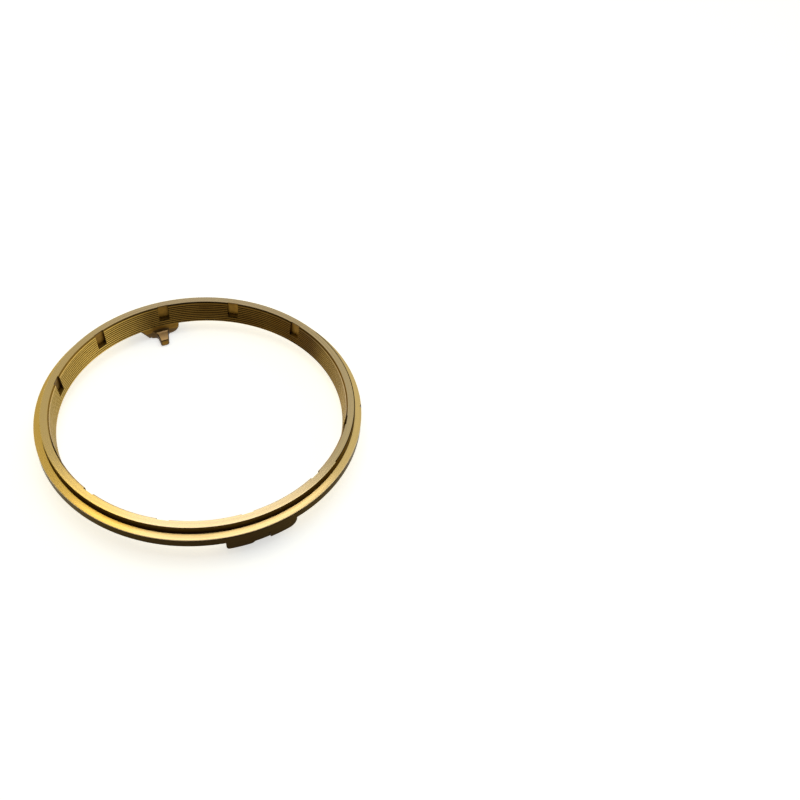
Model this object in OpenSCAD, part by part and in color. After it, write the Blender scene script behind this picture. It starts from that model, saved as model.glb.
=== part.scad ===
// Outer synchronizer ring of a multi-cone set, one cast and turned piece of brass.
// The land faces up, the lugs hang down, and the ring stands on its two lugs.
// The origin is on the ring's axis at the level of the lugs' feet, and X runs through the lugs.
// Sizes are in millimetres and angles in degrees.

/* [Ring] */
// Outside diameter of the flange
flange_d = 140; // [120:1:170]
// Height of the flange's outer wall
flange_h = 4.8; // [3:0.1:6]
// Width of the flat ledge around the land
ledge_w = 3.1; // [2:0.1:5]
// Height of the raised land above the ledge
land_h = 4; // [2:0.1:6]
// Width of the land's top face
land_w = 3.2; // [2.4:0.1:5]
// Height of the body from the land's top to the cone's small end
body_h = 10.9; // [10:0.1:16]
// How far the neck under the flange is set in from the land's wall
neck_in = 0.9; // [0.3:0.1:1.4]

/* [Friction cone] */
// Half angle of the friction cone
cone_a = 7; // [5:0.5:9]
// Lead-in chamfer at the cone's large end
lead_in = 0.6; // [0.3:0.1:1]

/* [Oil pockets] */
// Number of pockets around the cone
pocket_n = 12; // [6:1:18]
// Width of a pocket
pocket_w = 5; // [3:0.1:8]
// Height of a pocket below the land's top
pocket_h = 7.3; // [5:0.1:9.5]
// How far a pocket cuts into the land's top face
pocket_in = 0.2; // [0.1:0.05:0.6]
// Turn of the row of pockets from the lugs
pocket_turn = -2.5; // [-12:0.5:12]

/* [Lugs] */
// Number of lugs around the ring
lug_n = 2; // [2:1:4]
// How far the lugs hang below the body
lug_drop = 6.4; // [5.5:0.1:9]
// Width of a lug's foot
foot_w = 18; // [14:0.1:24]
// Thickness of a lug's foot
foot_t = 4.8; // [4:0.1:6]
// Rounding of the foot's inner lower edge
foot_in_r = 1.5; // [0.6:0.1:1.8]
// Rounding of the foot's outer lower edge
foot_out_r = 0.6; // [0.3:0.1:1.8]
// Length of the slope at the foot's leading end
foot_slope_l = 3.6; // [1:0.1:5]
// Height of the slope at the foot's leading end
foot_slope_h = 5.3; // [2:0.1:5.4]
// Rounding of the foot's trailing lower corner
foot_trail_r = 4.5; // [2:0.1:5.4]
// Width of the skirt that carries a lug under the flange
skirt_w = 30.5; // [26:0.5:38]
// How far the skirt hangs below the body
skirt_drop = 2.3; // [1:0.1:4]
// Rounding of the skirt's leading lower corner
skirt_lead_r = 3.4; // [1:0.1:6]
// Rounding of the skirt's trailing lower corner
skirt_trail_r = 1.5; // [0.5:0.1:4]
// Turn of the skirt from its foot
skirt_turn = 1.2; // [-3:0.1:3]
// Width of the window in the middle of the skirt
window_w = 6.2; // [4:0.1:10]
// Height of the window in the middle of the skirt
window_h = 3.2; // [1.5:0.1:4]
// Rounding of the skirt's lower corner on the window's trailing side
window_r = 2.5; // [0.5:0.1:3]

/* [Fingers] */
// Reach of a finger from the foot's inner face
finger_l = 7; // [4:0.1:9]
// Width of a finger at its tip
finger_w = 3.9; // [2.5:0.1:6]
// How much wider a finger is at its root, all on its trailing side
finger_flare = 1.9; // [0:0.1:3]
// Height of a finger
finger_h = 3.7; // [3:0.1:4.4]
// Rounding of a finger's lower edges
finger_low_r = 0.9; // [0.3:0.1:1.2]
// Fillet where a finger's top grows out of its foot
finger_r = 1.4; // [0.5:0.1:1.8]
// Fillet in plan at the leading side of a finger's root
gusset_r = 2.6; // [0.5:0.1:3]

/* [Edges] */
// Broken edge on the turned corners
edge_c = 0.2; // [0.1:0.05:0.5]
// Chamfer on the flange's lower edge
flange_c = 0.7; // [0.4:0.1:1.2]

/* [Hidden] */
$fn = 96;
over = 1;
flange_r = flange_d / 2;
land_r = flange_r - ledge_w;
land_in_r = land_r - land_w;
neck_r = land_r - neck_in;
body_z = lug_drop;
land_z = body_z + body_h;
ledge_z = land_z - land_h;
flange_z = ledge_z - flange_h;
cone_r1 = land_in_r - lead_in;
cone_h = body_h - lead_in;
cone_r0 = cone_r1 - cone_h * tan(cone_a);
pocket_r = land_in_r + pocket_in;
pocket_z = land_z - pocket_h;
foot_r = cone_r0 + foot_t;
skirt_r = flange_r - flange_c / 2;
skirt_z = body_z - skirt_drop;
tip_r = cone_r0 - finger_l;
root_r = cone_r0 + foot_t / 2;
finger_span = 2 * (finger_w + finger_flare);
finger_flare_a = atan(finger_flare / finger_l);

// What a rounded lower right corner at the origin loses.
module corner_cut(r) {
    translate([-r, -over])
        difference() {
            square([r + over, r + over]);
            translate([0, r + over])
                circle(r = r);
        }
}

// Outside of the ring as a filled section: neck, flange, ledge and land.
module blank_section() {
    polygon([
        [0, body_z],
        [neck_r - edge_c, body_z],
        [neck_r, body_z + edge_c],
        [neck_r, flange_z],
        [flange_r - flange_c, flange_z],
        [flange_r, flange_z + flange_c],
        [flange_r, ledge_z - edge_c],
        [flange_r - edge_c, ledge_z],
        [land_r, ledge_z],
        [land_r, land_z - edge_c],
        [land_r - edge_c, land_z],
        [0, land_z]
    ]);
}

// Everything that the bore takes away: lead-in, cone, straight relief and the feet's inner rounding.
module bore_section() {
    polygon([
        [0, -over],
        [cone_r0, -over],
        [cone_r0, body_z],
        [cone_r1, land_z - lead_in],
        [land_in_r, land_z],
        [land_in_r + over, land_z + over],
        [0, land_z + over]
    ]);
    translate([cone_r0, 0])
        mirror([1, 0])
            corner_cut(foot_in_r);
}

// Oil pocket: a straight-sided cut down through the lead-in and the cone, with a flat floor along the axis.
module pocket() {
    translate([tip_r, -pocket_w / 2, pocket_z])
        cube([pocket_r - tip_r, pocket_w, pocket_h + over]);
}

// Lower end of a lug seen along its radius, with its own rounding at each lower corner.
module lug_outline(w, low, high, lead_r, trail_r) {
    difference() {
        translate([-w / 2, low])
            square([w, high - low]);
        translate([w / 2, low])
            corner_cut(lead_r);
        translate([-w / 2, low])
            mirror([1, 0])
                corner_cut(trail_r);
    }
}

// Stands an outline up across the X axis and runs it along X.
module across_x(x0, x1) {
    translate([x0, 0, 0])
        rotate([90, 0, 90])
            linear_extrude(height = x1 - x0)
                children();
}

// Foot: a stretch of ring below the body, from the bore out to its own thickness, sloped at its leading end.
module foot() {
    intersection() {
        rotate_extrude()
            difference() {
                translate([tip_r, 0])
                    square([foot_r - tip_r, body_z + over]);
                translate([foot_r, 0])
                    corner_cut(foot_out_r);
            }
        across_x(tip_r, flange_r)
            difference() {
                lug_outline(foot_w, 0, body_z + over, edge_c, foot_trail_r);
                polygon([
                    [foot_w / 2 - foot_slope_l, 0],
                    [foot_w / 2, foot_slope_h],
                    [foot_w / 2 + over, foot_slope_h],
                    [foot_w / 2 + over, -over],
                    [foot_w / 2 - foot_slope_l, -over]
                ]);
            }
    }
}

// Skirt: the stretch of flange that reaches down to carry the foot, with its window.
module skirt() {
    rotate([0, 0, skirt_turn])
        intersection() {
            rotate_extrude()
                polygon([
                    [neck_r - over, skirt_z],
                    [skirt_r - edge_c, skirt_z],
                    [skirt_r, skirt_z + edge_c],
                    [skirt_r, ledge_z - over],
                    [neck_r - over, ledge_z - over]
                ]);
            across_x(tip_r, flange_r + over)
                difference() {
                    lug_outline(skirt_w, skirt_z, ledge_z, skirt_lead_r, skirt_trail_r);
                    translate([-window_w / 2, skirt_z - over])
                        square([window_w, window_h + over]);
                    translate([-window_w / 2, skirt_z])
                        corner_cut(window_r);
                }
        }
}

// Finger seen from the side: a bar with a broken tip and a fillet up to the foot.
module finger_side() {
    polygon([
        [tip_r, edge_c * 2],
        [tip_r + edge_c * 2, 0],
        [root_r, 0],
        [root_r, finger_h],
        [tip_r + edge_c * 2, finger_h],
        [tip_r, finger_h - edge_c * 2]
    ]);
    translate([cone_r0 - finger_r, finger_h])
        difference() {
            translate([0, -over])
                square([finger_r + foot_t / 2, finger_r + over]);
            translate([0, finger_r])
                circle(r = finger_r);
        }
}

// Everything on the inner side of a straight flank along X, with the flank's lower edge rounded.
module finger_flank() {
    across_x(tip_r - over, root_r + over)
        difference() {
            translate([-finger_span, 0])
                square([finger_span, finger_h + finger_r + over]);
            corner_cut(finger_low_r);
        }
}

// Fillet in plan at the leading side of the finger's root.
module finger_gusset() {
    translate([cone_r0 - gusset_r, finger_w / 2])
        difference() {
            translate([0, -over])
                square([gusset_r + foot_t / 2, gusset_r + over]);
            translate([0, gusset_r])
                circle(r = gusset_r);
        }
}

// Finger: its side view between a straight leading flank and a flared trailing one.
module finger() {
    intersection() {
        rotate([90, 0, 0])
            linear_extrude(height = finger_span * 2, center = true)
                finger_side();
        translate([0, finger_w / 2, 0])
            finger_flank();
        translate([tip_r, -finger_w / 2, 0])
            rotate([0, 0, -finger_flare_a])
                translate([-tip_r, 0, 0])
                    mirror([0, 1, 0])
                        finger_flank();
    }
    translate([0, 0, finger_low_r])
        linear_extrude(height = finger_h - finger_low_r)
            finger_gusset();
}

module synchronizer_ring() {
    color([0.72, 0.58, 0.3])
        union() {
            difference() {
                union() {
                    rotate_extrude()
                        blank_section();
                    for (i = [0 : lug_n - 1])
                        rotate([0, 0, i * 360 / lug_n]) {
                            foot();
                            skirt();
                        }
                }
                rotate_extrude()
                    bore_section();
                for (i = [0 : pocket_n - 1])
                    rotate([0, 0, pocket_turn + i * 360 / pocket_n])
                        pocket();
            }
            for (i = [0 : lug_n - 1])
                rotate([0, 0, i * 360 / lug_n])
                    finger();
        }
}

synchronizer_ring();
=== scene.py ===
"""Looks of the outer ring of a multi-cone synchronizer, one cast and turned piece of brass.

The ring is one closed surface: its section is carried round the axis on a grid of angles by section
points, with the friction thread, the oil pockets and the lugs worked into the section as it goes round.
"""

import logging
import math
from dataclasses import dataclass, field
from enum import IntEnum

import bpy
import numpy as np
from mathutils import Matrix, Vector


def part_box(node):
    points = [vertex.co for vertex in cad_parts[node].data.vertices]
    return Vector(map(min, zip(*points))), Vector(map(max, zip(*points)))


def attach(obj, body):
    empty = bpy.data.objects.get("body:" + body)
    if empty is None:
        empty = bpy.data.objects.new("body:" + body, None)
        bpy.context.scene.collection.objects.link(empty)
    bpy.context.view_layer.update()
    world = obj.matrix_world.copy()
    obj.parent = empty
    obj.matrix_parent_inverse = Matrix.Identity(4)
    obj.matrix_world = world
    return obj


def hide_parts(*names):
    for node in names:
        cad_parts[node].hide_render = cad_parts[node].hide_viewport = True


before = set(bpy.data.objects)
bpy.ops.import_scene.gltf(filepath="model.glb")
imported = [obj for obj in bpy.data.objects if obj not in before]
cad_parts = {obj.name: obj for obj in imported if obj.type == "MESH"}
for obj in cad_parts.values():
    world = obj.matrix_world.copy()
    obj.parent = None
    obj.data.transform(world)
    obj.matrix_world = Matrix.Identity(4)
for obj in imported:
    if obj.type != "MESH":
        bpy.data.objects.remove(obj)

LOG = logging.getLogger("synchronizer_ring")
MM = 0.001
NODE = "synchronizer_ring"
BODY = "root"
FULL_TURN = 2.0 * math.pi
GROOVE = "groove"
Triple = tuple[float, float, float]
Colour = Triple
Limits = tuple[float, float]
WHITE: Colour = (1.0, 1.0, 1.0)
ORIGIN: Triple = (0.0, 0.0, 0.0)
UPWARDS: Triple = (0.0, 0.0, 1.0)


class Zone(IntEnum):
    """Stretches of the ring's surface, each with its own finish; the value is the material's place."""

    FACE = 0
    STEP = 1
    RIM = 2
    THREAD = 3
    POCKET = 4
    CAST = 5
    FINGER = 6
    UNDER = 7
    LEAD = 8
    LEDGE = 9
    WALL = 10


@dataclass(frozen=True)
class RingSizes:
    """Sizes of the turned ring in millimetres, as the solid has them."""

    flange_r: float
    land_z: float
    flange_h: float = 4.8
    ledge_w: float = 3.1
    land_h: float = 4.0
    land_w: float = 3.2
    body_h: float = 10.9
    neck_in: float = 0.9
    cone_a: float = 7.0
    lead_in: float = 0.6
    edge_c: float = 0.2
    flange_c: float = 0.7
    corner_r: float = 0.15

    @classmethod
    def from_frame(cls) -> "RingSizes":
        """Takes the flange's radius and the land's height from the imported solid's box."""
        low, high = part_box(NODE)
        return cls(flange_r=(high.x - low.x) / 2 / MM, land_z=high.z / MM)

    @property
    def land_r(self) -> float:
        """Radius of the wall between the ledge and the land."""
        return self.flange_r - self.ledge_w

    @property
    def land_in_r(self) -> float:
        """Radius of the land's inner edge."""
        return self.land_r - self.land_w

    @property
    def neck_r(self) -> float:
        """Radius of the neck under the flange."""
        return self.land_r - self.neck_in

    @property
    def body_z(self) -> float:
        """Height of the body's lower face."""
        return self.land_z - self.body_h

    @property
    def ledge_z(self) -> float:
        """Height of the ledge around the land."""
        return self.land_z - self.land_h

    @property
    def flange_z(self) -> float:
        """Height of the flange's lower face."""
        return self.ledge_z - self.flange_h

    @property
    def cone_top_z(self) -> float:
        """Height where the lead-in chamfer ends and the cone begins."""
        return self.land_z - self.lead_in

    @property
    def cone_slope(self) -> float:
        """Growth of the cone's radius with height: the tangent of its half angle."""
        return math.tan(math.radians(self.cone_a))

    @property
    def cone_r0(self) -> float:
        """Radius of the cone's small end."""
        return self.land_in_r - self.lead_in - (self.cone_top_z - self.body_z) * self.cone_slope

    def cone_r(self, z: np.ndarray | float) -> np.ndarray | float:
        """Radius of the friction cone at a height: it widens upwards by its slope."""
        return self.cone_r0 + (z - self.body_z) * self.cone_slope


@dataclass(frozen=True)
class FrictionThread:
    """Fine thread cut outwards into the friction cone, in millimetres.

    A turn has four section points: both edges of the crest and both edges of the groove's floor.
    """

    pitch: float = 1.05
    depth: float = 0.36
    top_band: float = 0.7
    low_band: float = 0.35
    run_out: float = 0.3
    steps: tuple[float, ...] = (0.0, 0.36, 0.52, 0.84)
    cut: tuple[float, ...] = (0.0, 0.0, 1.0, 1.0)

    def rows(self, sizes: RingSizes, turn: np.ndarray) -> tuple[np.ndarray, np.ndarray, np.ndarray]:
        """Section points of the thread on each column.

        A point drops one pitch for each turn of its number, and the whole row climbs one pitch while the
        column goes once round, which makes the helix. The cut fades out at both ends.

        Args:
            sizes: Sizes of the ring.
            turn: Share of a full turn of each column, from 0 to 1.

        Returns:
            Radius, height and depth share of each point, as arrays of points by columns.
        """
        high = sizes.cone_top_z - self.top_band
        low = sizes.body_z + self.low_band
        per_turn = len(self.steps)
        number = np.arange(per_turn * (math.ceil((high - low) / self.pitch) + 2))
        drop = self.pitch * (number // per_turn + np.array(self.steps)[number % per_turn])
        z = np.clip(high + self.pitch * turn[None, :] - drop[:, None], low, high)
        fade = np.clip((high - z) / self.run_out, 0, 1) * np.clip((z - low) / self.run_out, 0, 1)
        share = np.array(self.cut)[number % per_turn][:, None] * fade
        return sizes.cone_r(z) + self.depth * share, z, share


@dataclass(frozen=True)
class OilPockets:
    """Pockets down the friction cone, each with a flat floor along the axis, in millimetres and degrees.

    They stand at even steps round the cone, and the two steps half way between the lugs stay bare.
    """

    steps: int = 12
    bare: tuple[int, ...] = (3, 9)
    width: float = 5.0
    height: float = 7.3
    land_cut: float = 0.2
    turn: float = -2.5

    def local(self, angle: np.ndarray) -> np.ndarray:
        """Angle of each column from the middle of its nearest pocket."""
        step = FULL_TURN / self.steps
        return (angle - math.radians(self.turn) + step / 2) % step - step / 2

    def inside(self, sizes: RingSizes, angle: np.ndarray) -> np.ndarray:
        """Mask of the columns that cross a pocket: near the middle of a step that isn't bare."""
        number = np.round((angle - math.radians(self.turn)) * self.steps / FULL_TURN) % self.steps
        return (np.abs(self.local(angle)) < self.half_angle(sizes)) & ~np.isin(number, self.bare)

    def half_angle(self, sizes: RingSizes) -> float:
        """Half of the angle that a pocket takes at the land's inner edge."""
        return math.asin(self.width / 2 / sizes.land_in_r)

    def breaks(self, sizes: RingSizes) -> np.ndarray:
        """Angles of all the pockets' side walls.

        Args:
            sizes: Sizes of the ring.

        Returns:
            The angles, first of one side and then of the other.
        """
        number = np.setdiff1d(np.arange(self.steps), self.bare)
        middle = math.radians(self.turn) + FULL_TURN * number / self.steps
        half = self.half_angle(sizes)
        return np.concatenate([middle - half, middle + half])

    def floor_r(self, sizes: RingSizes, angle: np.ndarray) -> np.ndarray:
        """Radius of a pocket's flat floor: its distance from the axis over the local angle's cosine."""
        return (sizes.land_in_r + self.land_cut) / np.cos(self.local(angle))


@dataclass(frozen=True)
class Lugs:
    """Lugs under the flange: a skirt with a window, and a foot below it, in millimetres and degrees."""

    count: int = 2
    foot_w: float = 18.0
    foot_t: float = 4.8
    foot_in_r: float = 1.5
    foot_out_r: float = 0.6
    slope_l: float = 3.6
    slope_h: float = 5.3
    trail_r: float = 4.5
    skirt_w: float = 30.5
    skirt_drop: float = 2.3
    skirt_lead_r: float = 3.4
    skirt_trail_r: float = 1.5
    skirt_turn: float = 1.2
    skirt_in: float = 1.0
    window_w: float = 6.2
    window_h: float = 3.2
    window_r: float = 2.5
    bare_h: float = 2.7
    columns: int = 90

    def local(self, angle: np.ndarray) -> np.ndarray:
        """Angle of each column from the middle of its nearest foot, positive on the leading side."""
        step = FULL_TURN / self.count
        return (angle + step / 2) % step - step / 2

    def foot_across(self, sizes: RingSizes, angle: np.ndarray) -> np.ndarray:
        """Distance of each column from the foot's middle, measured along the foot's inner face."""
        return sizes.cone_r0 * np.sin(self.local(angle))

    def skirt_r(self, sizes: RingSizes) -> float:
        """Radius of the skirt's outer face, half way down the flange's chamfer."""
        return sizes.flange_r - sizes.flange_c / 2

    def skirt_across(self, sizes: RingSizes, angle: np.ndarray) -> np.ndarray:
        """Distance of each column from the skirt's middle, measured along its outer face."""
        return self.skirt_r(sizes) * np.sin(self.local(angle) - math.radians(self.skirt_turn))

    def at_each(self, angles: np.ndarray) -> np.ndarray:
        """Repeats angles from a foot's middle about the middle of every foot."""
        return (FULL_TURN * np.arange(self.count)[:, None] / self.count + angles).ravel()

    def breaks(self, sizes: RingSizes) -> np.ndarray:
        """Angles where a foot, a skirt or a window begins or ends.

        Args:
            sizes: Sizes of the ring.

        Returns:
            The angles, one lug after another.
        """
        foot = np.arcsin(np.array([-self.foot_w, self.foot_w]) / 2 / sizes.cone_r0)
        edges = np.array([-self.skirt_w, -self.window_w, self.window_w, self.skirt_w]) / 2
        skirt = np.arcsin(edges / self.skirt_r(sizes)) + math.radians(self.skirt_turn)
        return self.at_each(np.concatenate([foot, skirt]))

    def fine_angles(self, sizes: RingSizes) -> np.ndarray:
        """Extra columns over each lug, so that its rounded corners are smooth."""
        half = math.asin(self.skirt_w / 2 / self.skirt_r(sizes)) + math.radians(self.skirt_turn)
        return self.at_each(np.linspace(-half, half, self.columns))

    def foot_z(self, sizes: RingSizes, angle: np.ndarray) -> np.ndarray:
        """Height of the foot's lower face: level, sloped at its leading end, round at its trailing end.

        Args:
            sizes: Sizes of the ring.
            angle: Angle of each column.

        Returns:
            The height on each column.
        """
        across = self.foot_across(sizes, angle)
        slope = (across - self.foot_w / 2 + self.slope_l) / self.slope_l * self.slope_h
        trail = rounded_end(self.trail_r - self.foot_w / 2 - across, self.trail_r)
        return np.maximum(trail, np.maximum(slope, 0))

    def skirt_z(self, sizes: RingSizes, angle: np.ndarray) -> np.ndarray:
        """Height of the skirt's lower edge: level, round at both ends and beside the window, high in it.

        Args:
            sizes: Sizes of the ring.
            angle: Angle of each column.

        Returns:
            The height on each column.
        """
        across = self.skirt_across(sizes, angle)
        half = self.skirt_w / 2
        rise = rounded_end(across - half + self.skirt_lead_r, self.skirt_lead_r)
        rise = np.maximum(rise, rounded_end(self.skirt_trail_r - half - across, self.skirt_trail_r))
        beside = rounded_end(across + self.window_w / 2 + self.window_r, self.window_r)
        rise = np.where(across < -self.window_w / 2, np.maximum(rise, beside), rise)
        rise = np.where(np.abs(across) < self.window_w / 2, self.window_h, rise)
        return sizes.body_z - self.skirt_drop + rise


def rounded_end(past: np.ndarray, radius: float) -> np.ndarray:
    """Rise of a quarter round at a distance past its start.

    It is the radius less one leg of a right triangle, which has the distance as its other leg and the
    radius as its long side.

    Args:
        past: Distance past the start of the round; nothing rises before it.
        radius: Radius of the round.

    Returns:
        The rise at each place, at most the radius.
    """
    leg = np.clip(past, 0, radius)
    return radius - np.sqrt(radius * radius - leg * leg)


def grid_quads(number: np.ndarray, after: np.ndarray) -> np.ndarray:
    """Quads of a grid, each from two points that follow along the second axis and their neighbours.

    Args:
        number: Point numbers of the grid.
        after: For each point the number of its neighbour.

    Returns:
        Four point numbers for each face.
    """
    return np.stack([number[:, :-1], number[:, 1:], after[:, 1:], after[:, :-1]], axis=-1).reshape(-1, 4)


def weld(
    points: np.ndarray, quads: np.ndarray, grain: float = 1e-4,
) -> tuple[np.ndarray, np.ndarray, np.ndarray]:
    """Joins grid points that lie at one place, and says how many corners each quad still has.

    Args:
        points: Grid points in millimetres, one row each.
        quads: Four point numbers for each face.
        grain: Distance in millimetres under which points are one.

    Returns:
        The number in points of each joined point, the quads in joined numbers, and for each quad a mask of
        the corners that differ from the corner after them.
    """
    cell = np.round(points / grain).astype(np.int64)
    _, first, joined = np.unique(cell, axis=0, return_index=True, return_inverse=True)
    quads = joined.reshape(-1)[quads]
    return first, quads, quads != np.roll(quads, -1, axis=1)


def mesh_from_faces(
    name: str, points: np.ndarray, corners: np.ndarray, sizes: np.ndarray, zones: np.ndarray,
) -> bpy.types.Mesh:
    """Puts whole arrays into a new mesh.

    Args:
        name: Name of the mesh.
        points: Points in metres, one row each.
        corners: Point numbers of all faces, one face after another.
        sizes: Number of corners of each face.
        zones: Material place of each face.

    Returns:
        The mesh, with its edges worked out.
    """
    mesh = bpy.data.meshes.new(name)
    mesh.vertices.add(len(points))
    mesh.vertices.foreach_set("co", np.ascontiguousarray(points, dtype=np.float32).ravel())
    mesh.loops.add(len(corners))
    mesh.loops.foreach_set("vertex_index", corners.astype(np.int32))
    mesh.polygons.add(len(sizes))
    mesh.polygons.foreach_set("loop_start", (np.cumsum(sizes) - sizes).astype(np.int32))
    mesh.polygons.foreach_set("loop_total", sizes.astype(np.int32))
    mesh.polygons.foreach_set("material_index", zones.astype(np.int32))
    mesh.update(calc_edges=True)
    mesh.validate()
    return mesh


@dataclass(frozen=True)
class EdgeNickAndShade:
    """Wear and painted shade on the ring's outer edges, in millimetres and degrees.

    The flange has a small nick, and a stretch of the land's edge takes a painted dark reflection.
    """

    nick_at: float = 68.0
    nick_half: float = 0.7
    nick_depth: float = 0.45
    nick_h: float = 1.3
    nick_columns: int = 9
    dark_edge_from: float = 36.0
    dark_edge_to: float = 108.0
    dark_edge_w: float = 0.22

    def past_nick(self, sizes: RingSizes, angle: np.ndarray) -> np.ndarray:
        """Distance of each column from the nick's middle along the edge, in halves of its width."""
        turn = (angle - math.radians(self.nick_at) + math.pi) % FULL_TURN - math.pi
        return turn * sizes.flange_r / self.nick_half

    def nick(self, sizes: RingSizes, angle: np.ndarray) -> np.ndarray:
        """Depth of the nick: a bowl that falls off with the square of the distance from its middle."""
        return self.nick_depth * np.clip(1 - self.past_nick(sizes, angle) ** 2, 0, 1)

    def fine_angles(self, sizes: RingSizes) -> np.ndarray:
        """Extra columns across the nick."""
        half = self.nick_half / sizes.flange_r
        return math.radians(self.nick_at) + np.linspace(-half, half, self.nick_columns)

    def painted_dark_edge(self, angle: np.ndarray) -> np.ndarray:
        """Mask of the columns where the land's outer edge takes the painted dark reflection."""
        turn = angle % FULL_TURN
        return (turn > math.radians(self.dark_edge_from)) & (turn < math.radians(self.dark_edge_to))


@dataclass
class RingBody:
    """The turned ring with its thread, pockets, skirts and feet, as one closed grid."""

    sizes: RingSizes
    thread: FrictionThread = field(default_factory=FrictionThread)
    pockets: OilPockets = field(default_factory=OilPockets)
    lugs: Lugs = field(default_factory=Lugs)
    nick_and_shade: EdgeNickAndShade = field(default_factory=EdgeNickAndShade)
    even_columns: int = 600
    start_angle: float = math.radians(42.5)
    side_step: float = 1e-7
    arc_points: int = 5

    def columns(self) -> tuple[np.ndarray, np.ndarray]:
        """Angles of the grid's columns, once round and back to the start.

        Every wall that stands across the ring has two columns at one place: one reads the shape just before
        the wall and one just after it, so the grid steps straight up or down there.

        Returns:
            The angle where each column stands and the angle where it reads the shape.
        """
        breaks = np.concatenate([self.pockets.breaks(self.sizes), self.lugs.breaks(self.sizes)])
        plain = np.concatenate([
            self.start_angle + FULL_TURN * np.arange(self.even_columns) / self.even_columns,
            self.lugs.fine_angles(self.sizes),
            self.nick_and_shade.fine_angles(self.sizes),
        ])
        stand = np.concatenate([plain, breaks, breaks])
        read = np.concatenate([plain, breaks - self.side_step, breaks + self.side_step])
        lap = np.floor((read - self.start_angle) / FULL_TURN) * FULL_TURN
        order = np.argsort(read - lap)
        stand, read = (stand - lap)[order], (read - lap)[order]
        return np.append(stand, stand[0] + FULL_TURN), np.append(read, read[0] + FULL_TURN)

    def bore(self, stand: np.ndarray, read: np.ndarray) -> tuple[np.ndarray, ...]:
        """Section points down the bore: lead-in, plain band, thread and cone end, with the pockets cut in.

        Inside a pocket the points above its lower end move out to the flat floor at their own heights; the
        last of them and the next one make the step back to the cone.

        Args:
            stand: Angle where each column stands.
            read: Angle where each column reads the shape.

        Returns:
            Radius, height, groove share and a mask of the points in a pocket.
        """
        size, lugs = self.sizes, self.lugs
        turn = (stand - self.start_angle) / FULL_TURN
        r, z, groove = self.thread.rows(size, turn - turn[0])
        band_z = size.cone_top_z - self.thread.top_band
        top = np.array([size.cone_top_z, band_z])[:, None] * np.ones_like(stand)
        foot = self.in_foot(read)
        plain_end = size.body_z + size.edge_c
        bare_end = np.maximum(size.body_z - lugs.bare_h, lugs.foot_z(size, read) + lugs.foot_in_r)
        end = np.stack([
            np.where(foot, size.body_z, plain_end),
            np.where(foot, np.minimum(bare_end, size.body_z), plain_end),
        ])
        z = np.concatenate([top, z, end])
        r = np.concatenate([size.cone_r(top), r, size.cone_r(np.maximum(end, size.body_z))])
        groove = np.concatenate([0 * top, groove, 0 * end])
        pocket = self.pockets.inside(size, read)
        floor_z = size.land_z - self.pockets.height
        above = pocket & (z > floor_z)
        past = np.arange(len(z))[:, None] - above.sum(axis=0)
        step = pocket & ((past == 0) | (past == -1))
        z = np.where(step, floor_z, z)
        r = np.where(step, size.cone_r(floor_z), r)
        r = np.where(above, self.pockets.floor_r(size, stand), r)
        return r, z, np.where(above | step, 0, groove), above

    def in_foot(self, read: np.ndarray) -> np.ndarray:
        """Mask of the columns that cross a foot."""
        return np.abs(self.lugs.foot_across(self.sizes, read)) < self.lugs.foot_w / 2

    def in_skirt(self, read: np.ndarray) -> np.ndarray:
        """Mask of the columns that cross a skirt."""
        return np.abs(self.lugs.skirt_across(self.sizes, read)) < self.lugs.skirt_w / 2

    def underside(self, read: np.ndarray) -> tuple[np.ndarray, np.ndarray]:
        """Section points along the underside: lower face or foot, neck, skirt and flange's lower chamfer.

        Args:
            read: Angle where each column reads the shape.

        Returns:
            Radius and height of each point.
        """
        size, lugs = self.sizes, self.lugs
        foot, skirt = self.in_foot(read), self.in_skirt(read)
        low = np.where(foot, lugs.foot_z(size, read), size.body_z)
        skirt_low = lugs.skirt_z(size, read)
        hangs = skirt & (skirt_low < size.body_z)
        neck = np.where(hangs, size.neck_r - lugs.skirt_in, size.neck_r)
        wall_r = np.where(foot, size.cone_r0 + lugs.foot_t, neck)
        room = size.body_z - low
        round_in = np.where(foot, np.minimum(lugs.foot_in_r, room), size.edge_c)
        round_out = np.where(foot, np.minimum(lugs.foot_out_r, room), np.where(hangs, 0.0, size.edge_c))
        quarter = np.linspace(0, math.pi / 2, self.arc_points)[:, None]
        inner_r = size.cone_r0 + round_in * (1 - np.cos(quarter))
        inner_z = low + round_in * (1 - np.sin(quarter))
        outer_r = wall_r - round_out * (1 - np.sin(quarter))
        outer_z = low + round_out * (1 - np.cos(quarter))
        plain_edge = size.flange_r - size.flange_c
        skirt_r = lugs.skirt_r(size)
        r = np.stack([
            wall_r,
            np.where(skirt, skirt_r - size.edge_c, plain_edge),
            np.where(skirt, skirt_r, plain_edge),
            np.full_like(read, skirt_r),
        ])
        z = np.stack([
            np.where(skirt, skirt_low, size.flange_z),
            np.where(skirt, skirt_low, size.flange_z),
            np.where(skirt, skirt_low + size.edge_c, size.flange_z),
            np.full_like(read, size.flange_z + size.flange_c / 2),
        ])
        return np.concatenate([inner_r, outer_r, r]), np.concatenate([inner_z, outer_z, z])

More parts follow.
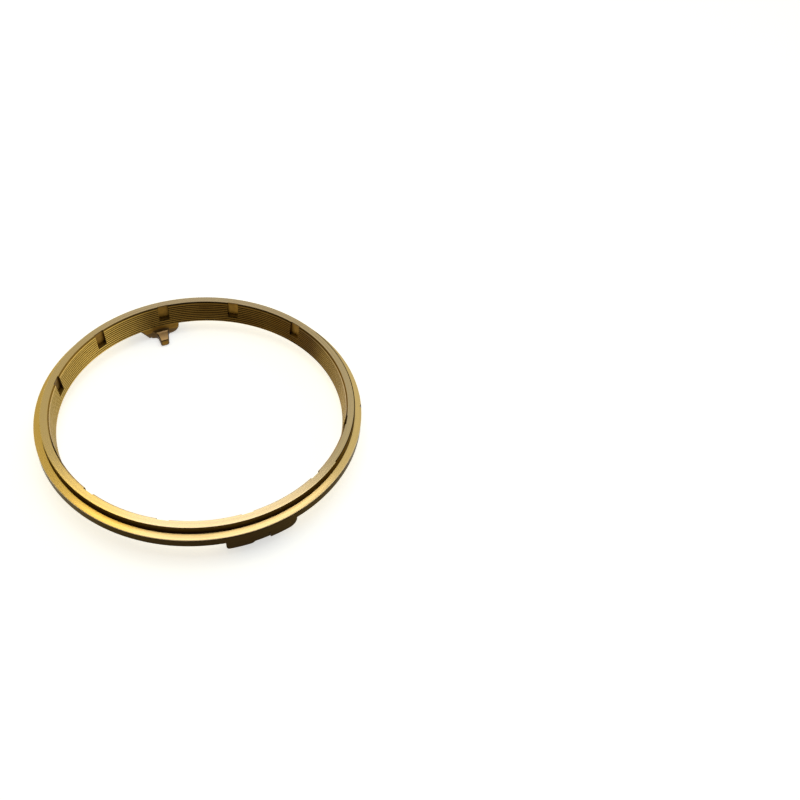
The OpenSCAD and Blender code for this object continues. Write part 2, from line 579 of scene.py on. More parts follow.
    def outside(self, stand: np.ndarray, read: np.ndarray) -> tuple[np.ndarray, np.ndarray]:
        """Section points up the outside: flange, ledge, step wall and land, with small rounds at corners.

        Args:
            stand: Angle where each column stands.
            read: Angle where each column reads the shape.

        Returns:
            Radius and height of each point.
        """
        size = self.sizes
        edge, corner = size.edge_c, size.corner_r
        quarter = np.linspace(0, math.pi / 2, self.arc_points)
        r = np.concatenate([
            [size.flange_r, size.flange_r],
            size.flange_r - edge + edge * np.cos(quarter),
            size.land_r + corner - corner * np.sin(quarter),
            size.land_r - edge + edge * np.cos(quarter),
            # This last point bounds the thin strip of the land's top that can take the painted dark
            # reflection.
            [size.land_r - edge - self.nick_and_shade.dark_edge_w],
        ])
        z = np.concatenate([
            [size.flange_z + size.flange_c, size.ledge_z - self.nick_and_shade.nick_h],
            size.ledge_z - edge + edge * np.sin(quarter),
            size.ledge_z + corner - corner * np.cos(quarter),
            size.land_z - edge + edge * np.sin(quarter),
            [size.land_z, size.land_z],
        ])
        ones = np.ones_like(stand)
        r = r[:, None] * ones
        r[2:self.arc_points + 2] -= self.nick_and_shade.nick(size, read)
        pocket = self.pockets.inside(size, read)
        inner_edge = np.where(pocket, self.pockets.floor_r(size, stand), size.land_in_r)
        return np.concatenate([r, inner_edge[None, :]]), z[:, None] * ones

    def zone_rows(self, bore_rows: int, low_rows: int) -> np.ndarray:
        """Zone of the face that begins at each section point.

        Args:
            bore_rows: Number of points down the bore.
            low_rows: Number of points along the underside.

        Returns:
            Zone numbers in the order of the section points.
        """
        arc = self.arc_points
        bore = np.full(bore_rows, Zone.THREAD)
        low = np.full(low_rows, Zone.UNDER)
        # The flange's lower chamfer and the skirt's outer face take the near-black rim finish: painted dark
        # reflection.
        low[-2:] = Zone.RIM
        # The flange's outer wall also takes the near-black rim finish: painted dark reflection.
        flange = [Zone.RIM] * 2 + [Zone.FACE] * (arc - 1) + [Zone.LEDGE]
        # The round at the wall's foot, the step wall and the lower part of the land's edge rounding take
        # the near-black step finish: painted dark reflection.
        land = [Zone.STEP] * (arc + 2) + [Zone.FACE] * (arc - 1)
        # The lead-in chamfer takes a dark brown finish: painted dark reflection.
        return np.concatenate([bore, low, flange, land, [Zone.LEAD]])

    def zones(self, read: np.ndarray, in_pocket: np.ndarray, low_rows: int, rows: int) -> np.ndarray:
        """Zone of each face: that of its section point, changed at pockets, lugs, the nick and the painted
        dark edge.

        Args:
            read: Angle where each column reads the shape.
            in_pocket: Mask of the bore's points that lie in a pocket.
            low_rows: Number of points along the underside.
            rows: Number of all the section points.

        Returns:
            Zone numbers, as section points by columns.
        """
        bore_rows, columns = in_pocket.shape
        zones = np.repeat(self.zone_rows(bore_rows, low_rows)[:, None], columns - 1, axis=1)

        def paint(part: slice | int, mask: np.ndarray, zone: Zone) -> None:
            """Gives another zone to the masked faces of some rows."""
            zones[part] = np.where(mask, zone, zones[part])

        pocket = np.zeros((rows, columns), bool)
        pocket[:bore_rows] = in_pocket
        pocket[-1] = in_pocket[0]
        # Painted shade: faces at the pockets' sides and the top of their floors take a dark brown finish,
        # for the shade in these recesses.
        paint(slice(None), pocket[:, :-1] | pocket[:, 1:], Zone.WALL)
        paint(slice(-1), pocket[:-1, :-1] & pocket[:-1, 1:], Zone.POCKET)
        skirt = self.in_skirt(read)
        # The lug's underside faces take the dark cast skin, its darkness partly painted shade.
        paint(slice(None), (skirt[:-1] | skirt[1:]) & (zones == Zone.UNDER), Zone.CAST)
        # Painted dark reflection: over a stretch of the ring, the upper part of the land's edge rounding
        # and a thin strip of its top take the near-black step finish.
        paint(slice(-self.arc_points, -2), self.nick_and_shade.painted_dark_edge(read[:-1]), Zone.STEP)
        nick = self.nick_and_shade.nick(self.sizes, read)
        flange_edge = bore_rows + low_rows + 1
        paint(slice(flange_edge, flange_edge + self.arc_points), nick[:-1] + nick[1:] > 0, Zone.CAST)
        foot = self.in_foot(read)
        foot_face = foot[:-1] & foot[1:]
        behind_skirt = bore_rows + 2 * self.arc_points - 1
        # Painted shade: the foot's outer face under the skirt takes the near-black rim finish.
        paint(behind_skirt, foot_face, Zone.RIM)
        # The foot's inner face is lighter in its upper band, with the pocket's brown, and darker below,
        # with the cast skin: partly a turned band over cast skin and partly painted light and shade.
        paint(bore_rows - 2, foot_face, Zone.POCKET)
        paint(bore_rows - 1, foot_face, Zone.CAST)
        return zones

    def mesh(self) -> bpy.types.Mesh:
        """Carries the section round the axis and closes it.

        A point stands at radius times the cosine and the sine of its column's angle, and the last section
        point joins the first.

        Returns:
            The mesh in metres, with the groove share kept on its points.
        """
        stand, read = self.columns()
        bore_r, bore_z, groove, in_pocket = self.bore(stand, read)
        low_r, low_z = self.underside(read)
        out_r, out_z = self.outside(stand, read)
        r = np.concatenate([bore_r, low_r, out_r])
        z = np.concatenate([bore_z, low_z, out_z])
        points = np.stack([r * np.cos(stand), r * np.sin(stand), z], axis=-1).reshape(-1, 3)
        groove = np.concatenate([groove, np.zeros_like(r[len(groove):])]).ravel()
        number = np.arange(r.size).reshape(r.shape)
        zones = self.zones(read, in_pocket, len(low_r), len(r)).ravel()
        first, quads, kept = weld(points, grid_quads(number, np.roll(number, -1, axis=0)))
        corners = kept.sum(axis=1)
        crossed = (quads[:, 0] == quads[:, 2]) | (quads[:, 1] == quads[:, 3])
        good = (corners >= 3) & ~(crossed & (corners == 4))
        faces = quads[good][kept[good]]
        mesh = mesh_from_faces(NODE, points[first] * MM, faces, corners[good], zones[good])
        share = mesh.attributes.new(GROOVE, "FLOAT", "POINT")
        share.data.foreach_set("value", groove[first].astype(np.float32))
        return mesh


@dataclass(frozen=True)
class Fingers:
    """Fingers that reach inwards from the feet, in millimetres."""

    reach: float = 7.0
    width: float = 3.9
    flare: float = 1.9
    height: float = 3.7
    low_r: float = 0.9
    top_r: float = 0.35
    tip_r: float = 0.6
    root_fillet: float = 1.4
    gusset_r: float = 2.6
    lift: float = 0.02
    buried: float = 1.6
    lit_top_stop: float = 0.5
    trail_grow: float = 0.4
    corner_points: int = 6
    tip_points: int = 7
    root_points: int = 15

    def stations(self) -> np.ndarray:
        """Distances from the tip where the section is laid: close at the round tip and at the root.

        Returns:
            The distances, the last one inside the foot.
        """
        tip = self.tip_r * (1 - np.cos(np.linspace(0, math.pi / 2, self.tip_points)))
        root = self.reach - self.gusset_r * np.cos(np.linspace(0, math.pi / 2, self.root_points))
        return np.concatenate([tip, root, [self.reach + self.buried]])

    def outline(self) -> tuple[np.ndarray, np.ndarray, np.ndarray]:
        """Rounded box of the section, corner by corner.

        Returns:
            For each point its side, its top or bottom, and its turn about the corner's centre.
        """
        turn = np.linspace(0, math.pi / 2, self.corner_points)
        angle = np.concatenate([turn, turn + math.pi / 2, turn + math.pi, turn + 1.5 * math.pi])
        side = np.repeat([1, -1, -1, 1], self.corner_points)
        level = np.repeat([1, 1, -1, -1], self.corner_points)
        return side, level, angle

    def points(self, sizes: RingSizes, turn: float) -> np.ndarray:
        """Section points of one finger on a grid of stations by outline points.

        Each corner of the rounded box is its centre plus its radius times the cosine and the sine of its
        turn. The box widens along the trailing side, grows by quarter rounds at the root and shrinks by one
        at the tip.

        Args:
            sizes: Sizes of the ring.
            turn: Angle of the finger round the axis.

        Returns:
            Points in millimetres, as stations by outline points by three.
        """
        x = self.stations()[:, None]
        grow = rounded_end(x - self.reach + self.root_fillet, self.root_fillet)
        gusset = rounded_end(x - self.reach + self.gusset_r, self.gusset_r)
        shrink = rounded_end(self.tip_r - x, self.tip_r)
        side, level, angle = self.outline()
        lead = self.width / 2 + gusset - shrink
        trail = self.width / 2 + self.flare * x / self.reach + self.trail_grow * grow - shrink
        high = self.height + grow - shrink
        low = self.lift + shrink
        radius = np.where(level > 0, self.top_r, self.low_r)[None, :] * np.ones_like(x)
        y_edge = np.where(side > 0, lead, -trail)
        z_edge = np.where(level > 0, high, low)
        y = y_edge - side * radius + radius * np.cos(angle)
        z = z_edge - level * radius + radius * np.sin(angle)
        r = sizes.cone_r0 - self.reach + x * np.ones_like(y)
        cos, sin = math.cos(turn), math.sin(turn)
        return np.stack([r * cos - y * sin, r * sin + y * cos, z], axis=-1)

    def mesh(self, sizes: RingSizes, count: int) -> bpy.types.Mesh:
        """Closed surfaces of all the fingers, capped at the tip and inside the foot.

        Args:
            sizes: Sizes of the ring.
            count: Number of fingers round the ring.

        Returns:
            The mesh in metres.
        """
        grids = np.stack([self.points(sizes, FULL_TURN * i / count) for i in range(count)])
        fingers, along, around, _ = grids.shape
        number = np.arange(grids.size // 3).reshape(fingers, along, around)
        quads = grid_quads(number, np.roll(number, -1, axis=2))
        x = self.stations()
        # Painted light: along the finger's free stretch, the top face gets the light finger finish and
        # every other face the dark cast skin, a lit and a shaded copy.
        bare = (x[:-1] > self.tip_r / 2) & (x[1:] < self.reach - self.lit_top_stop * self.root_fillet)
        top = np.arange(around) == self.corner_points - 1
        side_zones = np.tile(np.where(bare[:, None] & top, Zone.FINGER, Zone.CAST).ravel(), fingers)
        caps = np.concatenate([number[:, 0, :], number[:, -1, ::-1]])
        # Painted shade: the tip's end face takes the pocket's darker brown, darker than the lit top; the
        # root's cap inside the foot takes the cast skin.
        cap_zones = np.repeat([Zone.POCKET, Zone.CAST], fingers)
        corners = np.concatenate([quads.ravel(), caps.ravel()])
        counts = np.concatenate([np.full(len(quads), 4), np.full(len(caps), around)])
        zones = np.concatenate([side_zones, cap_zones])
        return mesh_from_faces("fingers", grids.reshape(-1, 3) * MM, corners, counts, zones)


class Nodes:
    """Short way to add and join the nodes of one tree."""

    mix_share = 0
    mix_colours = (6, 7)
    mix_result = 2

    def __init__(self, tree: bpy.types.NodeTree) -> None:
        """Keeps the tree that the nodes go into."""
        self.tree = tree

    def feed(self, node: bpy.types.Node, values: dict[str | int, object]) -> None:
        """Links or sets the inputs of a node; a plain colour gets an alpha of 1.

        Args:
            node: Node to feed.
            values: For each input, by name or place, a socket to link or a plain value.
        """
        for name, value in values.items():
            target = node.inputs[name]
            if isinstance(value, bpy.types.NodeSocket):
                self.tree.links.new(value, target)
            else:
                target.default_value = (*value, 1.0) if target.type == "RGBA" else value

    def add(
        self, kind: str, values: dict[str | int, object] | None = None, **settings: object,
    ) -> bpy.types.Node:
        """Adds a node, sets its properties and feeds its inputs.

        Args:
            kind: Blender's name of the node.
            values: Sockets or plain values of the inputs, by name or place.
            settings: Properties of the node, by name.

        Returns:
            The node.
        """
        node = self.tree.nodes.new(kind)
        for name, value in settings.items():
            setattr(node, name, value)
        self.feed(node, values or {})
        return node

    def math(self, operation: str, *values: object) -> bpy.types.NodeSocket:
        """Works out one value from up to three sockets or numbers, by Blender's name of the operation."""
        return self.add("ShaderNodeMath", dict(enumerate(values)), operation=operation).outputs[0]

    def vector(self, operation: str, *values: object) -> bpy.types.NodeSocket:
        """Works out a vector, or the one value of a dot product, from sockets or plain vectors."""
        node = self.add("ShaderNodeVectorMath", dict(enumerate(values)), operation=operation)
        return node.outputs["Value" if operation == "DOT_PRODUCT" else "Vector"]

    def mix(self, share: object, first: object, second: object) -> bpy.types.NodeSocket:
        """Mixes two colours.

        Args:
            share: Socket or number from 0, all the first colour, to 1.
            first: First colour or socket.
            second: Second colour or socket.

        Returns:
            The socket that holds the mixed colour.
        """
        values = {self.mix_share: share, **dict(zip(self.mix_colours, (first, second)))}
        return self.add("ShaderNodeMix", values, data_type="RGBA").outputs[self.mix_result]

    def span(
        self, value: bpy.types.NodeSocket, limits: Limits, results: Limits = (0.0, 1.0),
    ) -> bpy.types.NodeSocket:
        """Maps a stretch of values smoothly onto another.

        Args:
            value: Socket to map.
            limits: Start and end of the stretch.
            results: Results at the start and at the end.

        Returns:
            The socket that holds the result.
        """
        ends = dict(zip(("From Min", "From Max", "To Min", "To Max"), (*limits, *results)))
        node = self.add("ShaderNodeMapRange", {"Value": value, **ends}, interpolation_type="SMOOTHSTEP")
        return node.outputs["Result"]

    def noise(
        self, place: bpy.types.NodeSocket, scale: object, detail: float = 2.0,
    ) -> bpy.types.NodeSocket:
        """Noise from 0 to 1 at each place, at a scale that is a socket or a number."""
        node = self.add("ShaderNodeTexNoise", {"Vector": place, "Scale": scale, "Detail": detail})
        return node.outputs["Fac"]


@dataclass
class EffectGroups:
    """Shader groups that every finish of the ring shares.

    An effect fades in between its two limits, which are values of a noise from 0 to 1 about its middle.
    """

    noise_middle: float = 0.5
    line_limits: Limits = (0.3, 0.7)
    patch_limits: Limits = (0.38, 0.62)
    patch_detail: float = 4.0
    speck_detail: float = 3.0
    speck_scale: float = 9.0
    speck_share: float = 0.35
    side_shade_limits: Limits = (0.15, 1.05)
    side_shade_uneven: float = 0.5
    side_shade_toward: Triple = (-0.77, 0.64, 0.0)
    side_shade_scale: float = 45.0

    def __post_init__(self) -> None:
        """Builds each group once."""
        self.turning = self.turning_marks()
        self.tarnish = self.tarnish_patches()
        self.side_shade = self.bore_side_shade()

    @staticmethod
    def start(
        name: str, inputs: dict[str, object], outputs: tuple[str, ...],
    ) -> tuple[Nodes, bpy.types.NodeOutputs, bpy.types.Node]:
        """Makes an empty group with named sockets.

        Args:
            name: Name of the group.
            inputs: Default of each input by name, a number or a vector.
            outputs: Names of the value outputs.

        Returns:
            The group's nodes, the sockets of its inputs and its output node.
        """
        tree = bpy.data.node_groups.new(name, "ShaderNodeTree")
        for label, default in inputs.items():
            kind = "NodeSocketFloat" if isinstance(default, float) else "NodeSocketVector"
            socket = tree.interface.new_socket(label, in_out="INPUT", socket_type=kind)
            socket.default_value = default
        for label in outputs:
            tree.interface.new_socket(label, in_out="OUTPUT", socket_type="NodeSocketFloat")
        nodes = Nodes(tree)
        return nodes, nodes.add("NodeGroupInput").outputs, nodes.add("NodeGroupOutput")

    def turning_marks(self) -> bpy.types.NodeTree:
        """Fine concentric lines that a turning tool leaves: noise, fast across the ring and slow round it.

        The lines stand up by the depth, and the small facets between them lean outwards by the lean.

        Returns:
            The group.
        """
        inputs = {"Vector": ORIGIN, "Lines": 0.0, "Drift": 0.0, "Depth": 0.0, "Lean": 0.0}
        nodes, given, out = self.start("turning_marks", inputs, ("Height", "Tone"))
        x, y, z = nodes.add("ShaderNodeSeparateXYZ", {0: given["Vector"]}).outputs
        squares = nodes.math("ADD", nodes.math("MULTIPLY", x, x), nodes.math("MULTIPLY", y, y))
        radius = nodes.math("SQRT", squares)
        across = nodes.math("MULTIPLY", nodes.math("ADD", radius, z), given["Lines"])
        around = [nodes.math("MULTIPLY", side, given["Drift"]) for side in (x, y)]
        place = nodes.add("ShaderNodeCombineXYZ", dict(enumerate((across, *around)))).outputs[0]
        lines = nodes.noise(place, 1.0)
        stand = nodes.math("MULTIPLY", lines, given["Depth"])
        height = nodes.math("SUBTRACT", stand, nodes.math("MULTIPLY", radius, given["Lean"]))
        nodes.feed(out, {"Height": height, "Tone": nodes.span(lines, self.line_limits)})
        return nodes.tree

    def tarnish_patches(self) -> bpy.types.NodeTree:
        """Soft patches of tarnish: broad noise broken up by finer specks, cut at the wanted cover.

        Returns:
            The group.
        """
        inputs = {"Vector": ORIGIN, "Scale": 0.0, "Cover": 0.0}
        nodes, given, out = self.start("tarnish_patches", inputs, ("Mask",))
        broad = nodes.noise(given["Vector"], given["Scale"], self.patch_detail)
        fine = nodes.math("MULTIPLY", given["Scale"], self.speck_scale)
        specks = nodes.noise(given["Vector"], fine, self.speck_detail)
        broad = nodes.math("MULTIPLY", broad, 1.0 - self.speck_share)
        both = nodes.math("MULTIPLY_ADD", specks, self.speck_share, broad)
        lift = nodes.math("SUBTRACT", given["Cover"], self.noise_middle)
        mask = nodes.span(nodes.math("ADD", both, lift), self.patch_limits)
        nodes.feed(out, {"Mask": mask})
        return nodes.tree

    def bore_side_shade(self) -> bpy.types.NodeTree:
        """Painted shade on one side of the bore: a brown that fades out from there with an uneven edge.

        Returns:
            The group.
        """
        inputs = {"Vector": ORIGIN, "Side": self.side_shade_toward, "Scale": self.side_shade_scale}
        nodes, given, out = self.start("bore_side_shade", inputs, ("Mask",))
        flat = nodes.vector("MULTIPLY", given["Vector"], (1.0, 1.0, 0.0))
        side = nodes.vector("DOT_PRODUCT", nodes.vector("NORMALIZE", flat), given["Side"])
        uneven = nodes.noise(given["Vector"], given["Scale"])
        uneven = nodes.math("SUBTRACT", uneven, self.noise_middle)
        edge = nodes.math("MULTIPLY_ADD", uneven, self.side_shade_uneven, side)
        nodes.feed(out, {"Mask": nodes.span(edge, self.side_shade_limits)})
        return nodes.tree


@dataclass(frozen=True)
class BrassFinish:
    """One finish of the brass: its colours, its gloss, its turning marks, its tarnish and any painted
    shade.
    """

    name: str
    bright: Colour
    dull: Colour
    tarnish: Colour
    groove_shade: Colour = (0.02, 0.014, 0.008)
    rough_low: float = 0.22
    rough_high: float = 0.38
    metallic: float = 1.0
    lines: float = 1500.0
    drift: float = 12.0
    line_tone: float = 0.35
    line_depth: float = 0.002
    line_lean: float = 0.0
    patch_scale: float = 60.0
    patch_cover: float = 0.45
    patch_share: float = 0.5
    groove_shade_share: float = 0.0
    side_shade: Colour = (0.1, 0.05, 0.01)
    side_shade_share: float = 0.0
    grain: float = 0.85
    oil: float = 0.0
    oil_rough: float = 0.25
    oil_ior: float = 1.6
    edge: Colour = WHITE

    @staticmethod
    def profile_direction(nodes: Nodes, place: bpy.types.NodeSocket) -> bpy.types.NodeSocket:
        """Direction along the ring's section at each place, in which the turning marks spread the light.

        It stands square to the surface's normal and to the way round the axis.

        Args:
            nodes: Nodes of the material.
            place: Socket of the object coordinates.

        Returns:
            The socket that holds the direction.
        """
        around = nodes.vector("CROSS_PRODUCT", UPWARDS, place)
        normal = nodes.add("ShaderNodeNewGeometry").outputs["Normal"]
        return nodes.vector("NORMALIZE", nodes.vector("CROSS_PRODUCT", normal, around))

    def material(self, groups: EffectGroups) -> bpy.types.Material:
        """Builds the finish as a material.

        The turning marks shift the bright brass towards the dull one, the patches lay tarnish over them,
        the gloss follows the mean of both, and painted shade darkens the grooves where the surface has any.

        Args:
            groups: Shared shader groups.

        Returns:
            The material.
        """
        material = bpy.data.materials.new(self.name)
        material.use_nodes = True
        nodes = Nodes(material.node_tree)
        place = nodes.add("ShaderNodeTexCoord").outputs["Object"]
        turned = {
            "Vector": place,
            "Lines": self.lines,
            "Drift": self.drift,
            "Depth": self.line_depth * MM,
            "Lean": math.tan(math.radians(self.line_lean)),
        }
        marks = nodes.add("ShaderNodeGroup", turned, node_tree=groups.turning).outputs
        aged = {"Vector": place, "Scale": self.patch_scale, "Cover": self.patch_cover}
        patches = nodes.add("ShaderNodeGroup", aged, node_tree=groups.tarnish).outputs
        tone = nodes.math("MULTIPLY", marks["Tone"], self.line_tone)
        laid = nodes.math("MULTIPLY", patches["Mask"], self.patch_share)
        colour = nodes.mix(laid, nodes.mix(tone, self.bright, self.dull), self.tarnish)
        # Painted shade: one side of the bore is darkened towards brown.
        if self.side_shade_share:
            side_shade = nodes.add("ShaderNodeGroup", {"Vector": place}, node_tree=groups.side_shade).outputs["Mask"]
            colour = nodes.mix(nodes.math("MULTIPLY", side_shade, self.side_shade_share), colour, self.side_shade)
        # Painted shade: the grooves' depth share darkens the colour almost to black.
        if self.groove_shade_share:
            groove = nodes.add("ShaderNodeAttribute", attribute_name=GROOVE).outputs["Fac"]
            colour = nodes.mix(nodes.math("MULTIPLY", groove, self.groove_shade_share), colour, self.groove_shade)
        gloss = nodes.math("DIVIDE", nodes.math("ADD", marks["Tone"], laid), 2.0)
        bump = nodes.add("ShaderNodeBump", {"Strength": 1.0, "Distance": 1.0, "Height": marks["Height"]})
        nodes.feed(material.node_tree.nodes["Principled BSDF"], {
            "Base Color": colour,
            "Metallic": self.metallic,
            "Roughness": nodes.span(gloss, (0.0, 1.0), (self.rough_low, self.rough_high)),
            "Specular Tint": self.edge,
            "Anisotropic": self.grain,
            "Tangent": self.profile_direction(nodes, place),
            "Coat Weight": self.oil,
            "Coat Roughness": self.oil_rough,
            "Coat IOR": self.oil_ior,
            "Normal": bump.outputs["Normal"],
        })
        return material


FINISHES: dict[Zone, BrassFinish] = {
    Zone.FACE: BrassFinish(
        "turned_face", (0.88, 0.66, 0.34), (0.77, 0.57, 0.28), (0.62, 0.455, 0.215),
        line_lean=4.0, patch_share=0.1, line_tone=0.15, line_depth=0.0014, oil=1.0,
    ),
    # Same turned brass as the land; the ledge's deeper gold is painted reflection, the warmer light it
    # mirrors.
    Zone.LEDGE: BrassFinish(
        "turned_ledge", (0.88, 0.61, 0.25), (0.77, 0.525, 0.2), (0.62, 0.42, 0.155),
        line_lean=8.0, patch_share=0.1, line_tone=0.12, line_depth=0.0014, oil=0.9,
    ),
    # Painted dark reflection: near black, standing for the dark surroundings that the step wall and the
    # land's edge rounding mirror.
    Zone.STEP: BrassFinish(
        "turned_step_painted_dark", (0.06, 0.03, 0.005), (0.045, 0.022, 0.004), (0.03, 0.015, 0.003),
        edge=(0.78, 0.68, 0.5),
    ),
    # Painted dark reflection: near black, standing for the dark surroundings that the flange's walls and
    # chamfer mirror.
    Zone.RIM: BrassFinish(
        "turned_rim_painted_dark", (0.026, 0.014, 0.005), (0.02, 0.011, 0.004), (0.015, 0.008, 0.003),
        edge=(0.75, 0.68, 0.55),
    ),
    Zone.THREAD: BrassFinish(
        "friction_thread", (0.6, 0.39, 0.09), (0.5, 0.32, 0.07), (0.34, 0.21, 0.05),
        # Painted shade: the grooves are darkened almost to black.
        groove_shade=(0.015, 0.008, 0.002), line_tone=0.2, patch_share=0.2, groove_shade_share=0.95,
        # Painted shade: one side of the bore is darkened by a brown that fades round it.
        side_shade=(0.1, 0.05, 0.008), side_shade_share=1.0,
    ),
    Zone.POCKET: BrassFinish(
        "oil_pocket", (0.25, 0.135, 0.022), (0.2, 0.105, 0.016), (0.12, 0.065, 0.012),
        rough_low=0.5, rough_high=0.62, grain=0.0,
    ),
    # Painted shade: dark brown on the pockets' side walls and the top of their floors.
    Zone.WALL: BrassFinish(
        "pocket_wall_painted_shade", (0.11, 0.058, 0.013), (0.09, 0.047, 0.01), (0.06, 0.03, 0.007),
        rough_low=0.45, rough_high=0.6, grain=0.0,
    ),
    # Cast skin of the lugs; its dark brown is partly painted shade.
    Zone.CAST: BrassFinish(
        "cast_skin_and_shade", (0.13, 0.075, 0.025), (0.09, 0.05, 0.018), (0.04, 0.024, 0.012),
        rough_low=0.4, rough_high=0.6, grain=0.0,
    ),
    # Painted light: the lit top face of a finger, a light copy of the dark cast skin on its other faces.
    Zone.FINGER: BrassFinish(
        "finger", (0.85, 0.57, 0.28), (0.74, 0.48, 0.22), (0.5, 0.32, 0.14),
        rough_low=0.5, rough_high=0.6, grain=0.0,
    ),
    # Painted dark reflection on the lead-in chamfer.
    Zone.LEAD: BrassFinish(
        "lead_in", (0.3, 0.16, 0.03), (0.25, 0.13, 0.02), (0.18, 0.1, 0.02),
        rough_low=0.12, rough_high=0.2, grain=0.0,
    ),
    Zone.UNDER: BrassFinish("turned_underside", (0.80, 0.60, 0.25), (0.64, 0.45, 0.17), (0.45, 0.31, 0.12)),
}


@dataclass
class SynchronizerRing:
    """The whole ring: body and fingers joined into one piece and dressed."""

    sizes: RingSizes
    body: RingBody = field(init=False)
    fingers: Fingers = field(default_factory=Fingers)
    sharp_angle: float = math.radians(28.0)

    def __post_init__(self) -> None:
        """Makes the body from the ring's sizes."""
        self.body = RingBody(self.sizes)

    def build(self, groups: EffectGroups) -> bpy.types.Object:
        """Joins the body and the fingers into one closed mesh, each zone with its finish.

        Args:
            groups: Shared shader groups.

        Returns:
            The ring's object, at the origin.
        """
        finishes = [FINISHES[zone].material(groups) for zone in Zone]
        ring = bpy.data.objects.new("ring", self.body.mesh())
        fingers = bpy.data.objects.new("fingers", self.fingers.mesh(self.sizes, self.body.lugs.count))
        for piece in (ring, fingers):
            bpy.context.scene.collection.objects.link(piece)
            for finish in finishes:
                piece.data.materials.append(finish)
        join = ring.modifiers.new("join_fingers", "BOOLEAN")
        join.operation = "UNION"
        join.solver = "MANIFOLD"
        join.object = fingers
        whole = bpy.data.meshes.new_from_object(ring.evaluated_get(bpy.context.evaluated_depsgraph_get()))
        ring.modifiers.clear()
        ring.data = whole
        whole.name = "ring"
        bpy.data.objects.remove(fingers)
        whole.shade_smooth()
        whole.set_sharp_from_angle(angle=self.sharp_angle)
        return ring

    @staticmethod
    def seat(ring: bpy.types.Object) -> None:
        """Puts the ring in the solid's place on its body.

        Args:
            ring: The ring's object.
        """
        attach(ring, BODY)
        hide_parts(NODE)


@dataclass(frozen=True)
class PhotoView:
    """The photograph's camera, worked out from the ring's edges.

    The ring's middle is given along the camera's own axes, right, down and away, in flange radii.
    """

    heading: float = 57.0
    elevation: float = 47.36
    roll: float = 8.11
    focal_px: float = 940.0
    frame_px: float = 800.0
    sensor_mm: float = 36.0
    near_clip: float = 0.01
    middle: tuple[float, float, float] = (-1.2396, 0.0383, 5.8819)

    def place(self, right: float, away: float, up: float) -> Vector:
        """Turns a place given to the right, away and up, as the photograph sees it, into the row's frame.

        Args:
            right: Distance to the photograph's right.
            away: Distance away from the camera along the floor.
            up: Height above the floor.

        Returns:
            The place in the row's frame.
        """
        return Matrix.Rotation(math.radians(self.heading), 3, "Z") @ Vector((right, away, up))

    def axes(self) -> Matrix:
        """Camera's axes in the row's frame: level ones at its elevation, turned by its roll.

        Returns:
            The right, up and back axes as the columns of a matrix.
        """
        el, roll = math.radians(self.elevation), math.radians(self.roll)
        right = Vector((1.0, 0.0, 0.0))
        down = Vector((0.0, -math.sin(el), -math.cos(el)))
        away = Vector((0.0, math.cos(el), -math.sin(el)))
        turned_right = right * math.cos(roll) - down * math.sin(roll)
        turned_down = right * math.sin(roll) + down * math.cos(roll)
        return Matrix([self.place(*axis) for axis in (turned_right, -turned_down, -away)]).transposed()

    def camera(self, sizes: RingSizes) -> bpy.types.Object:
        """Makes the camera and sets it as the scene's.

        Args:
            sizes: Sizes of the ring.

        Returns:
            The camera's object.
        """
        data = bpy.data.cameras.new("photo_camera")
        data.sensor_fit = "HORIZONTAL"
        data.sensor_width = self.sensor_mm
        data.lens = self.sensor_mm * self.focal_px / self.frame_px
        data.clip_start = self.near_clip
        camera = bpy.data.objects.new("photo_camera", data)
        bpy.context.scene.collection.objects.link(camera)
        axes = self.axes()
        right, down, away = (value * sizes.flange_r * MM for value in self.middle)
        ring_middle = Vector((0.0, 0.0, sizes.ledge_z * MM))
        place = ring_middle - axes @ Vector((right, -down, -away))
        camera.matrix_world = Matrix.Translation(place) @ axes.to_4x4()
        bpy.context.scene.camera = camera
        return camera


@dataclass(frozen=True)
class SoftLamp:
    """One rectangular soft lamp that faces straight down, placed as the photograph sees it, in metres."""

    name: str
    right: float
    away: float
    up: float
    width: float
    length: float
    power: float
    colour: Colour = WHITE

    def build(self, view: PhotoView) -> bpy.types.Object:
        """Makes the lamp, square to the photograph's directions.

        Args:
            view: The photograph's camera, which gives the directions.

        Returns:
            The lamp's object.
        """
        data = bpy.data.lights.new(self.name, "AREA")
        data.shape = "RECTANGLE"
        data.size = self.width
        data.size_y = self.length
        data.energy = self.power
        data.color = self.colour
        lamp = bpy.data.objects.new(self.name, data)
        bpy.context.scene.collection.objects.link(lamp)
        lamp.location = view.place(self.right, self.away, self.up)
        lamp.rotation_euler = (0.0, 0.0, math.radians(view.heading))
        return lamp


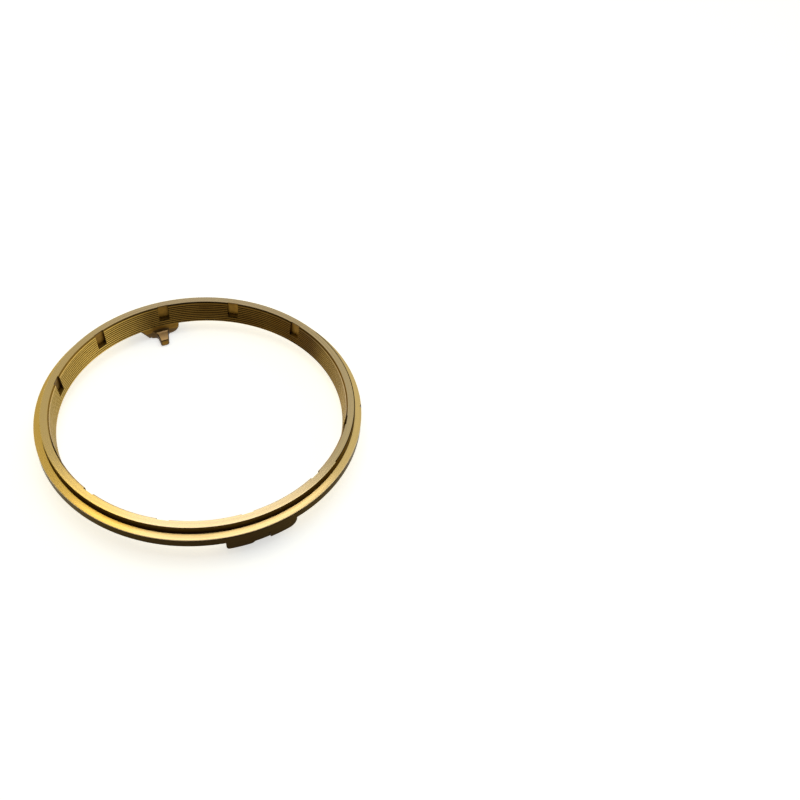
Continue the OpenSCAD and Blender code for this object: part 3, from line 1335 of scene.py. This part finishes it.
@dataclass
class Studio:
    """Pale floor, soft lamps and the photograph's camera.

    Directions go to the right, away and up, as the photograph sees them; limits are shares of a direction.
    """

    view: PhotoView = field(default_factory=PhotoView)
    floor_size: float = 6.0
    floor_drop: float = 0.00005
    floor_colour: Colour = (0.84, 0.86, 0.9)
    floor_rough: float = 0.9
    floor_shine: float = 0.1
    floor_lift: float = 0.62
    world_colour: Colour = WHITE
    left_colour: Colour = (1.0, 0.87, 0.3)
    right_colour: Colour = (0.95, 0.97, 0.72)
    world_near: float = 0.05
    world_far: float = 0.36
    world_left: float = 1.6
    world_right: float = 2.1
    far_side: Triple = (0.0, 1.0, 0.0)
    far_limits: Limits = (-0.5, 0.5)
    right_flank: Triple = (0.978, 0.207, 0.0)
    flank_limits: Limits = (0.1, 0.45)
    lamps: tuple[SoftLamp, ...] = (
        SoftLamp("overhead_right", 0.035, 0.13, 1.1, 0.82, 0.88, 3.4),
        SoftLamp("overhead_left", -0.54, 0.13, 1.1, 0.33, 0.88, 1.35, colour=(1.0, 0.85, 0.32)),
    )

    def floor_paper(self) -> bpy.types.Material:
        """Matt pale paper that also shows its own white to the camera and in the brass, but lights nothing.

        Returns:
            The material.
        """
        material = bpy.data.materials.new("floor_paper")
        material.use_nodes = True
        nodes = Nodes(material.node_tree)
        ray = nodes.add("ShaderNodeLightPath").outputs
        seen = nodes.math("MAXIMUM", ray["Is Camera Ray"], ray["Is Glossy Ray"])
        seen = nodes.math("MAXIMUM", seen, ray["Is Transmission Ray"])
        nodes.feed(material.node_tree.nodes["Principled BSDF"], {
            "Base Color": self.floor_colour,
            "Roughness": self.floor_rough,
            "Specular IOR Level": self.floor_shine,
            "Emission Color": WHITE,
            "Emission Strength": nodes.math("MULTIPLY", seen, self.floor_lift),
        })
        return material

    def floor(self) -> bpy.types.Object:
        """Lays the floor just under the feet: one flat square about the axis.

        Returns:
            The floor's object.
        """
        half = self.floor_size / 2
        corner = np.array([[-half, -half], [half, -half], [half, half], [-half, half]])
        points = np.column_stack([corner, np.full(len(corner), -self.floor_drop)])
        around = np.arange(len(corner))
        mesh = mesh_from_faces("floor", points, around, np.array([len(corner)]), np.zeros(1))
        mesh.materials.append(self.floor_paper())
        floor = bpy.data.objects.new("floor", mesh)
        bpy.context.scene.collection.objects.link(floor)
        return floor

    def world(self) -> None:
        """Sets a low light all round: dim on the camera's side, stronger far away, most on the flanks."""
        world = bpy.data.worlds.new("studio")
        world.use_nodes = True
        nodes = Nodes(world.node_tree)
        look = nodes.add("ShaderNodeTexCoord").outputs["Generated"]
        far = nodes.vector("DOT_PRODUCT", look, self.view.place(*self.far_side))
        right = nodes.vector("DOT_PRODUCT", look, self.view.place(*self.right_flank))
        left = nodes.math("MULTIPLY", right, -1.0)
        level = nodes.span(far, self.far_limits, (self.world_near, self.world_far))
        colour = self.world_colour
        flanks = ((left, self.world_left, self.left_colour), (right, self.world_right, self.right_colour))
        for beside, gain, tint in flanks:
            level = nodes.math("MULTIPLY", level, nodes.span(beside, self.flank_limits, (1.0, gain)))
            colour = nodes.mix(nodes.span(beside, self.flank_limits), colour, tint)
        nodes.feed(world.node_tree.nodes["Background"], {"Color": colour, "Strength": level})
        bpy.context.scene.world = world

    def build(self, sizes: RingSizes) -> None:
        """Sets up floor, lamps, world, camera and the view transform.

        Args:
            sizes: Sizes of the ring.
        """
        self.floor()
        self.world()
        for lamp in self.lamps:
            lamp.build(self.view)
        self.view.camera(sizes)
        bpy.context.scene.view_settings.view_transform = "Standard"


def main() -> None:
    """Builds the ring and the studio around it."""
    logging.basicConfig(level=logging.INFO, format="%(message)s")
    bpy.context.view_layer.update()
    sizes = RingSizes.from_frame()
    ring = SynchronizerRing(sizes)
    piece = ring.build(EffectGroups())
    ring.seat(piece)
    LOG.info("%s: %d points, %d faces", piece.name, len(piece.data.vertices), len(piece.data.polygons))
    studio = Studio()
    studio.build(sizes)
    LOG.info("studio: floor, %d lamps, camera", len(studio.lamps))


if __name__ == "__main__":
    main()
